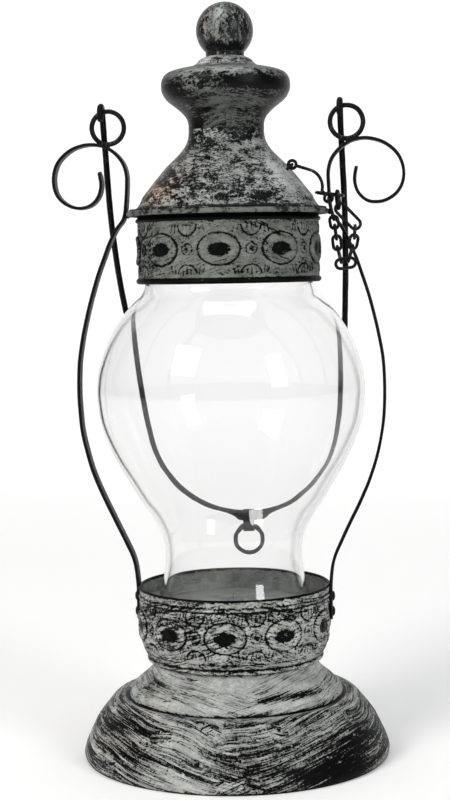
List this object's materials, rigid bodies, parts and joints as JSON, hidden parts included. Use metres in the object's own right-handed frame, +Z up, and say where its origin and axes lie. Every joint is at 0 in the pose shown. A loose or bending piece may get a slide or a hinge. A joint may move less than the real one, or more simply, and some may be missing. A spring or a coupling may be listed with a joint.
{
  "type": "candle lantern",
  "caption": "Hurricane lantern in oil-lamp style: flared foot, embossed bands, bulbous glass chimney, vented lid on a chain, side strips and a swinging wire bail.",
  "frame": {"origin": "centre of the foot's underside, on the lantern's axis", "axes": "+Z up, +X through the side strip that carries the keeper chain, -Y the front that the chain hangs on, +Y the side the bail leans to"},
  "size_m": [0.1592, 0.1398, 0.3403],
  "materials": {
    "distressed_paint": "matte grey-green paint dry-brushed over black",
    "black_wire": "satin black with rubbed grey faces",
    "dark_wire": "dark grey rubbed wire",
    "bare_steel": "zinc-plated fastener",
    "clear_glass": "clear blown glass"
  },
  "bodies": {
    "frame": {"foot_shell": "distressed_paint", "gallery_collar": "distressed_paint", "candle_plate": "distressed_paint", "centre_screw": "bare_steel", "centre_nut": "bare_steel", "glass_chimney": "clear_glass", "side_strip_left": "black_wire", "side_strip_right": "black_wire", "strip_rivets": "black_wire", "carrier_hoop": "black_wire", "hoop_welds": "black_wire", "hanger_ring_left": "dark_wire", "hanger_ring_right": "dark_wire", "ring_welds": "black_wire"},
    "lid": {"dome_shell": "distressed_paint", "vent_bulge": "distressed_paint", "crown_cap": "distressed_paint", "finial_ball": "distressed_paint", "finial_screw": "bare_steel", "finial_nut": "bare_steel", "upper_band": "distressed_paint", "chain_eye": "dark_wire", "chain_anchor_ring": "dark_wire", "chain_hanger_link": "dark_wire", "chain_long_link": "dark_wire", "chain_right_links": "dark_wire", "chain_bottom_link": "dark_wire", "chain_left_links": "dark_wire", "chain_top_link": "dark_wire", "chain_hook": "dark_wire"},
    "bail": {"bail_handle": "black_wire", "bail_clip": "black_wire"},
    "pull_ring": {"bail_ring": "dark_wire"}
  },
  "joints": [
    {"name": "lid_lift", "type": "slide", "parent": "frame", "child": "lid", "axis": [0, 0, 1], "range_m": [0, 0.013]},
    {"name": "bail_swing", "type": "hinge", "parent": "frame", "child": "bail", "pos_m": [0, 0, 0.29265], "axis": [1, 0, 0], "range_deg": [0, 305]},
    {"name": "pull_ring_swing", "type": "hinge", "parent": "bail", "child": "pull_ring", "pos_m": [0.0018, 0.06055, 0.09719], "axis": [1, 0, 0], "range_deg": [-90, 90]}
  ]
}
